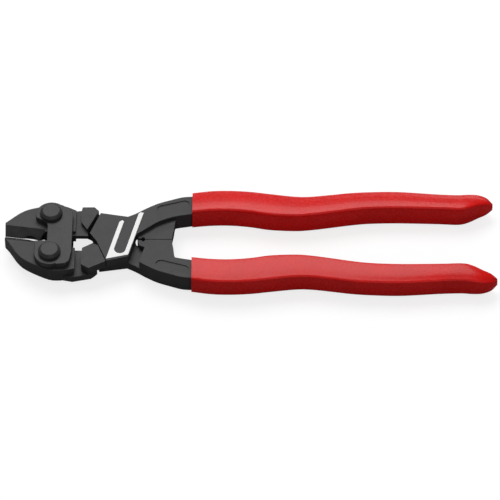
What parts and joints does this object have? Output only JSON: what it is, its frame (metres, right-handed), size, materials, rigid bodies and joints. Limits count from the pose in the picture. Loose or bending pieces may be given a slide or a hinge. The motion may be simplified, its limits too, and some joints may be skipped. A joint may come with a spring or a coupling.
{
  "type": "compact bolt cutters",
  "caption": "Compact high-leverage bolt cutters: short jaws riveted between two straps, lap-jointed hub linkage, long bowed handles with smooth dipped grips.",
  "frame": {"origin": "middle of the length and width, at the level of the flats of the rear rivet ends", "axes": "+X from the jaws to the handle ends, +Y towards the upper handle, +Z out of the labelled face"},
  "size_m": [0.2, 0.0492, 0.0152],
  "materials": {
    "forged_steel": "blackened forged steel, satin",
    "strap_steel": "blackened plate steel, satin",
    "rivet_steel": "blackened turned rivet head",
    "pin_steel": "ground pin",
    "white_enamel": "white enamel fill",
    "red_dip": "glossy dipped vinyl"
  },
  "bodies": {
    "lower_handle": {"lower_handle": "forged_steel", "lower_grip": "red_dip", "centre_pin": "pin_steel"},
    "upper_handle": {"upper_handle": "forged_steel", "upper_grip": "red_dip", "label_field": "white_enamel"},
    "lower_jaw": {"lower_jaw": "forged_steel", "lower_link_pin": "pin_steel"},
    "straps": {"front_strap": "strap_steel", "rear_strap": "strap_steel", "upper_rivet": "rivet_steel", "lower_rivet": "rivet_steel"},
    "upper_jaw": {"upper_jaw": "forged_steel", "upper_link_pin": "pin_steel"}
  },
  "joints": [
    {"name": "handles_open", "type": "hinge", "parent": "lower_handle", "child": "upper_handle", "pos_m": [-0.0565, 0, 0.007], "axis": [0, 0, 1], "range_deg": [0, 30]},
    {"name": "lower_jaw_swing", "type": "hinge", "parent": "lower_handle", "child": "lower_jaw", "pos_m": [-0.0659, -0.0126, 0.007], "axis": [0, 0, 1], "range_deg": [0, 25.5]},
    {"name": "strap_swing", "type": "hinge", "parent": "lower_jaw", "child": "straps", "pos_m": [-0.0813, -0.0102, 0.007], "axis": [0, 0, 1], "range_deg": [-10.5, 0]},
    {"name": "upper_jaw_swing", "type": "hinge", "parent": "straps", "child": "upper_jaw", "pos_m": [-0.0813, 0.0102, 0.007], "axis": [0, 0, 1], "range_deg": [-10.5, 0]}
  ],
  "couplings": [
    {"joint": "lower_jaw_swing", "follows": "handles_open", "ratio": 0.845},
    {"joint": "strap_swing", "follows": "handles_open", "ratio": -0.345},
    {"joint": "upper_jaw_swing", "follows": "handles_open", "ratio": -0.345}
  ]
}
